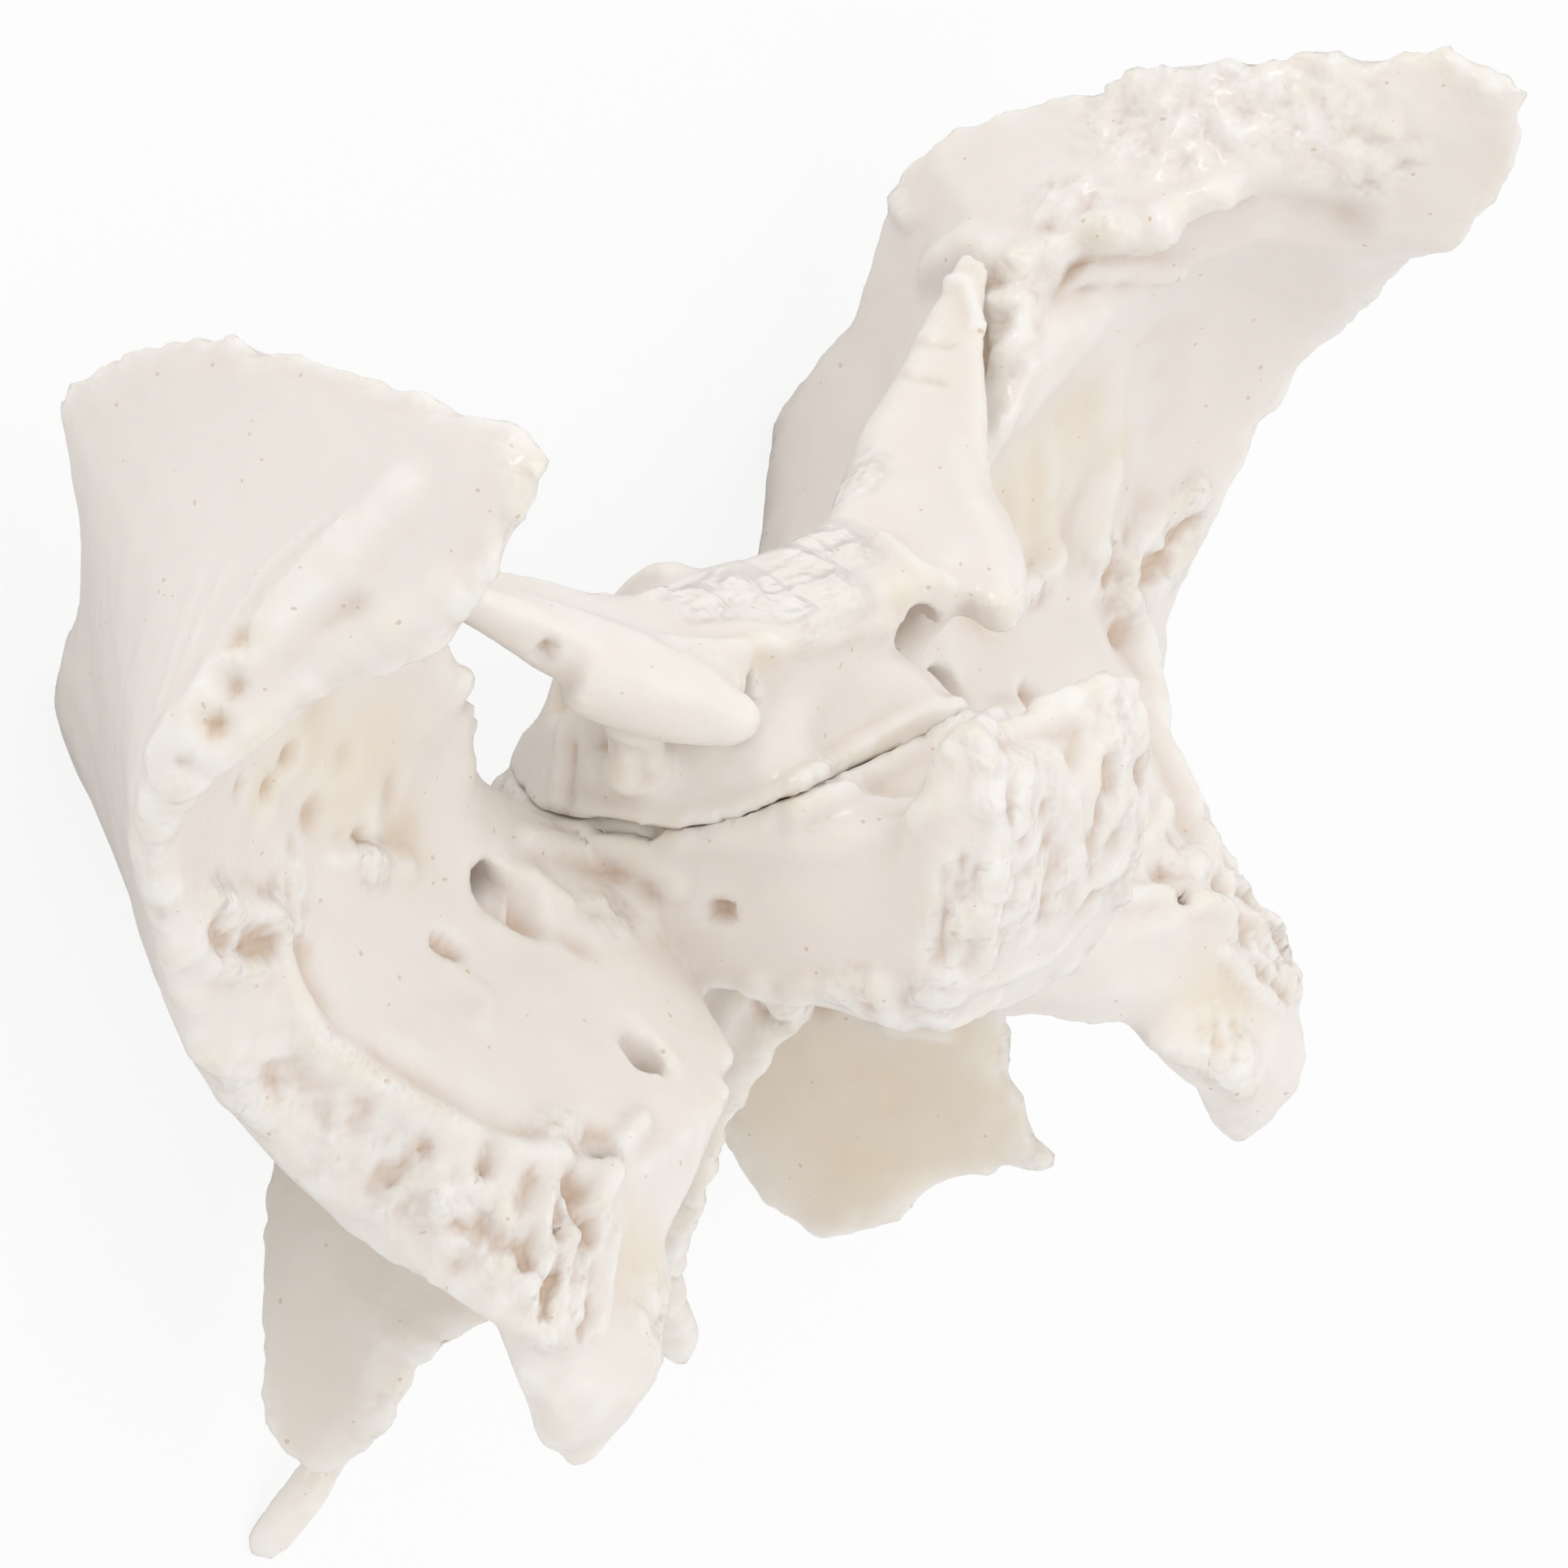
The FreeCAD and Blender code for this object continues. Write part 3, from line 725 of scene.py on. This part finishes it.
def cast_skin_group():
    """Colour, roughness and bump of the cast plastic from the stored masks, with painted highlights on
    the rims and painted shade in the pits.
    """
    group = bpy.data.node_groups.new("cast_skin", "ShaderNodeTree")
    for name, kind in (("Plastic", "NodeSocketColor"), ("Rim highlight", "NodeSocketColor"),
                       ("Warm tint", "NodeSocketColor"), ("Speck and pit shade", "NodeSocketColor"),
                       ("Gloss", "NodeSocketFloat")):
        group.interface.new_socket(name, in_out="INPUT", socket_type=kind)
    for name, kind in (("Color", "NodeSocketColor"), ("Roughness", "NodeSocketFloat"),
                       ("Height", "NodeSocketFloat")):
        group.interface.new_socket(name, in_out="OUTPUT", socket_type=kind)
    nodes = group.nodes
    links = group.links
    given = nodes.new("NodeGroupInput")
    out = nodes.new("NodeGroupOutput")
    place_node = nodes.new("ShaderNodeTexCoord")

    def mask(name):
        node = nodes.new("ShaderNodeAttribute")
        node.attribute_name = name
        return node.outputs["Fac"]

    def pattern(scale, detail_level, rough=0.5, stretch=(1.0, 1.0, 1.0)):
        turn = nodes.new("ShaderNodeMapping")
        turn.inputs["Scale"].default_value = stretch
        links.new(place_node.outputs["Object"], turn.inputs["Vector"])
        node = nodes.new("ShaderNodeTexNoise")
        node.inputs["Scale"].default_value = scale
        node.inputs["Detail"].default_value = detail_level
        node.inputs["Roughness"].default_value = rough
        links.new(turn.outputs[0], node.inputs["Vector"])
        return node.outputs["Fac"]

    def spread(value, low, high, to_low=0.0, to_high=1.0):
        node = nodes.new("ShaderNodeMapRange")
        node.inputs["From Min"].default_value = low
        node.inputs["From Max"].default_value = high
        node.inputs["To Min"].default_value = to_low
        node.inputs["To Max"].default_value = to_high
        links.new(value, node.inputs["Value"])
        return node.outputs[0]

    def blend(share, first, second):
        node = nodes.new("ShaderNodeMix")
        node.data_type = "RGBA"
        links.new(share, node.inputs[MIX_FACTOR])
        links.new(first, node.inputs[MIX_FIRST])
        links.new(second, node.inputs[MIX_SECOND])
        return node.outputs[MIX_RESULT]

    def sum_up(kind, first, second):
        node = nodes.new("ShaderNodeMath")
        node.operation = kind
        links.new(first, node.inputs[0])
        if isinstance(second, float):
            node.inputs[1].default_value = second
        else:
            links.new(second, node.inputs[1])
        return node.outputs[0]

    # Warm tint where thin and painted warm shade in the listed zones, broken up by clouds
    cloud = spread(pattern(CLOUD_SCALE, 1.0), 0.3, 0.7, 0.55, 1.0)
    tint_share = sum_up("MULTIPLY", mask("warm_tint"), cloud)
    color = blend(tint_share, given.outputs["Plastic"], given.outputs["Warm tint"])
    # Painted highlight: whiter colour on the rims and knobs
    color = blend(mask("rim_highlight"), color, given.outputs["Rim highlight"])
    # Warm flecks of random tone, spread only where the painted highlight lies
    fleck = spread(pattern(FLECK_SCALE, 1.0), 0.42, 0.62, 0.0, FLECK_SHARE)
    color = blend(sum_up("MULTIPLY", fleck, mask("rim_highlight")), color, given.outputs["Warm tint"])
    # Painted shade: tan darkening in the pits
    color = blend(sum_up("MULTIPLY", mask("pit_shade"), PIT_SHADE), color, given.outputs["Speck and pit shade"])
    speck = spread(pattern(SPECK_SCALE, 0.0), 0.83, 0.85, 0.0, SPECK_SHARE)
    color = blend(speck, color, given.outputs["Speck and pit shade"])
    links.new(color, out.inputs["Color"])

    smear = spread(pattern(SMEAR_SCALE, 1.0), 0.3, 0.7, -0.08, 0.12)
    dull = sum_up("ADD", given.outputs["Gloss"], smear)
    shine = sum_up("MULTIPLY", mask("wrinkled"), WRINKLE_SHINE)
    links.new(sum_up("ADD", dull, shine), out.inputs["Roughness"])

    grain = pattern(GRAIN_SCALE, 1.0, 0.6)
    lumps = pattern(LUMP_SCALE, 2.0)
    strands = pattern(STRAND_SCALE, 1.0, 0.5, STRAND_STRETCH)
    height = sum_up("MULTIPLY", grain, GRAIN_HEIGHT)
    height = sum_up("ADD", height, sum_up("MULTIPLY", lumps, LUMP_HEIGHT))
    rough_lumps = sum_up("MULTIPLY", sum_up("MULTIPLY", lumps, mask("rough")), ROUGH_HEIGHT)
    height = sum_up("ADD", height, rough_lumps)
    wrinkles = sum_up("MULTIPLY", sum_up("MULTIPLY", strands, mask("wrinkled")), WRINKLE_HEIGHT)
    height = sum_up("ADD", height, wrinkles)
    links.new(height, out.inputs["Height"])
    return group


def cast_plastic(name, group):
    looks = bpy.context.scene.sphenoid_looks
    material, nodes, links = new_material(name)
    shader = nodes["Principled BSDF"]
    skin = nodes.new("ShaderNodeGroup")
    skin.node_tree = group
    skin.inputs["Plastic"].default_value = (*looks.plastic, 1.0)
    skin.inputs["Rim highlight"].default_value = (*looks.rim_highlight, 1.0)
    skin.inputs["Warm tint"].default_value = (*looks.warm_tint, 1.0)
    skin.inputs["Speck and pit shade"].default_value = (*looks.speck_and_pit_shade, 1.0)
    skin.inputs["Gloss"].default_value = looks.gloss
    links.new(skin.outputs["Color"], shader.inputs["Base Color"])
    links.new(skin.outputs["Roughness"], shader.inputs["Roughness"])
    bump = nodes.new("ShaderNodeBump")
    bump.inputs["Strength"].default_value = BUMP_STRENGTH
    bump.inputs["Distance"].default_value = BUMP_DISTANCE
    links.new(skin.outputs["Height"], bump.inputs["Height"])
    links.new(bump.outputs["Normal"], shader.inputs["Normal"])
    shader.inputs["Specular IOR Level"].default_value = 0.45
    shader.inputs["Coat Weight"].default_value = 0.35
    shader.inputs["Coat Roughness"].default_value = 0.15
    shader.inputs["Subsurface Weight"].default_value = 0.15
    shader.inputs["Subsurface Radius"].default_value = (1.0, 0.75, 0.5)
    shader.inputs["Subsurface Scale"].default_value = 0.0012
    return material


def white_floor():
    """A matt white floor that keeps a light shadow and looks white to the eye."""
    material, nodes, links = new_material("floor_white")
    shader = nodes["Principled BSDF"]
    shader.inputs["Base Color"].default_value = FLOOR_WHITE
    shader.inputs["Roughness"].default_value = FLOOR_ROUGHNESS
    shader.inputs["Specular IOR Level"].default_value = 0.0
    glow = nodes.new("ShaderNodeEmission")
    glow.inputs["Strength"].default_value = 1.0
    path = nodes.new("ShaderNodeLightPath")
    share = nodes.new("ShaderNodeMath")
    share.operation = "MULTIPLY"
    share.inputs[1].default_value = FLOOR_GLOW
    links.new(path.outputs["Is Camera Ray"], share.inputs[0])
    mix = nodes.new("ShaderNodeMixShader")
    links.new(share.outputs[0], mix.inputs["Fac"])
    links.new(shader.outputs[0], mix.inputs[1])
    links.new(glow.outputs[0], mix.inputs[2])
    links.new(mix.outputs[0], nodes["Material Output"].inputs["Surface"])
    return material


class SPHENOID_OT_castings(bpy.types.Operator):
    """Model both castings over their solids"""

    bl_idname = "sphenoid.castings"
    bl_label = "Castings"

    def execute(self, context):
        form = context.scene.sphenoid_form
        low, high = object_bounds()
        skin = cast_skin_group()
        material = cast_plastic("cast_plastic", skin)
        pieces = [copy_of(casting.node, casting.piece) for casting in CASTINGS]
        trees = [skin_tree(piece) for piece in pieces]
        for piece, other, casting in zip(pieces, reversed(trees), CASTINGS):
            swell(piece, casting.swellings)
            cell = getattr(form, casting.cell)
            apply(piece, "REMESH", "cells", mode="VOXEL", voxel_size=cell)
            free = clearance(piece, other)
            soften(piece, "soft", SOFT_ROUNDS, SEAM_SOFTNESS + (1.0 - SEAM_SOFTNESS) * free)
            rough, warm = detail(piece, casting, free)
            keep_in_box(piece, low, high)
            paint_masks(piece, casting, rough, warm)
            piece.vertex_groups.clear()
            piece.data.materials.append(material)
            only(piece)
            bpy.ops.object.shade_smooth()
            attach(piece, "root")
            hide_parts(casting.node)
        return {"FINISHED"}


class SPHENOID_OT_stage(bpy.types.Operator):
    """Set the floor, the lamps and the camera"""

    bl_idname = "sphenoid.stage"
    bl_label = "Stage"

    def execute(self, context):
        bpy.ops.object.select_all(action="DESELECT")
        bpy.ops.mesh.primitive_plane_add(size=FLOOR_SIDE, location=(0.0, 0.0, 0.0))
        floor = context.active_object
        floor.name = "floor"
        floor.data.materials.append(white_floor())
        floor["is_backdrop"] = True

        world = bpy.data.worlds.new("studio")
        context.scene.world = world
        world.use_nodes = True
        nodes = world.node_tree.nodes
        links = world.node_tree.links
        background = nodes["Background"]
        background.inputs["Color"].default_value = (1.0, 1.0, 1.0, 1.0)
        path = nodes.new("ShaderNodeLightPath")
        seen = nodes.new("ShaderNodeMath")
        seen.operation = "MAXIMUM"
        links.new(path.outputs["Is Camera Ray"], seen.inputs[0])
        links.new(path.outputs["Is Glossy Ray"], seen.inputs[1])
        strength = nodes.new("ShaderNodeMapRange")
        strength.inputs["To Min"].default_value = WORLD_LIGHT
        strength.inputs["To Max"].default_value = 1.0
        links.new(seen.outputs[0], strength.inputs["Value"])
        links.new(strength.outputs[0], background.inputs["Strength"])

        right, up, back = picture_axes()
        for name, (along, above, towards), energy, size in LAMPS:
            offset = right * along + up * above + back * towards
            bpy.ops.object.light_add(type="AREA", location=Vector(LAMP_TARGET) + offset)
            lamp = context.active_object
            lamp.name = name
            lamp.data.energy = energy
            lamp.data.size = size
            lamp.rotation_euler = offset.to_track_quat("Z", "Y").to_euler()

        bpy.ops.object.camera_add(location=place(CAMERA_PLACE))
        camera = context.active_object
        camera.rotation_euler = Matrix((right, up, back)).transposed().to_euler()
        camera.data.lens = camera.data.sensor_width * CAMERA_FOCAL_PX / PHOTO_SIDE
        camera.data.clip_end = CAMERA_REACH
        context.scene.camera = camera
        context.scene.view_settings.view_transform = "Standard"
        return {"FINISHED"}


class SPHENOID_PT_panel(bpy.types.Panel):
    bl_label = "Sphenoid"
    bl_idname = "SPHENOID_PT_panel"
    bl_space_type = "VIEW_3D"
    bl_region_type = "UI"
    bl_category = "Sphenoid"

    def draw(self, context):
        for group in (context.scene.sphenoid_looks, context.scene.sphenoid_form):
            for key in group.bl_rna.properties.keys():
                if key not in ("rna_type", "name"):
                    self.layout.prop(group, key)
        for operator in OPERATORS:
            self.layout.operator(operator.bl_idname)


OPERATORS = (SPHENOID_OT_castings, SPHENOID_OT_stage)
CLASSES = (SphenoidLooks, SphenoidForm, *OPERATORS, SPHENOID_PT_panel)


def register():
    for entry in CLASSES:
        bpy.utils.register_class(entry)
    bpy.types.Scene.sphenoid_looks = bpy.props.PointerProperty(type=SphenoidLooks)
    bpy.types.Scene.sphenoid_form = bpy.props.PointerProperty(type=SphenoidForm)


def unregister():
    del bpy.types.Scene.sphenoid_looks
    del bpy.types.Scene.sphenoid_form
    for entry in reversed(CLASSES):
        bpy.utils.unregister_class(entry)


def main():
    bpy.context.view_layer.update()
    register()
    bpy.ops.sphenoid.castings()
    bpy.ops.sphenoid.stage()


if __name__ == "__main__":
    main()
